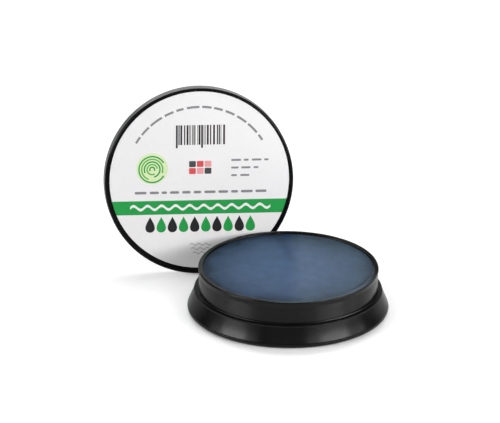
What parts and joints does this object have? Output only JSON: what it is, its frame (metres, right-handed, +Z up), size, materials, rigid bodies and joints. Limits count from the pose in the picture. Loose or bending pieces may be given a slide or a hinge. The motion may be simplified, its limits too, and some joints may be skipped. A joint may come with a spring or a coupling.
{
  "type": "finger moistener",
  "caption": "Shallow round pot of blue-grey wax on a flared foot, with its press-on labelled lid taken off and stood behind it, for moistening fingertips.",
  "frame": {"origin": "the pot's axis on the table, at the middle of the foot's standing ring", "axes": "+Z up; -Y is the front, which the standing lid's label faces; +X to the right seen from the front"},
  "size_m": [0.084, 0.073, 0.0581],
  "materials": {
    "black_plastic": "satin moulded polystyrene",
    "wax": "soft translucent wax, faintly mottled",
    "label_paper": "coated white label stock with a printed design"
  },
  "bodies": {
    "pot": {"pot": "black_plastic", "wax_cake": "wax"},
    "lid": {"lid": "black_plastic", "lid_label": "label_paper"}
  },
  "joints": [
    {"name": "lid_lift", "type": "slide", "parent": "pot", "child": "lid", "axis": [0, 0, 1], "range_m": [0, 0.04]}
  ]
}
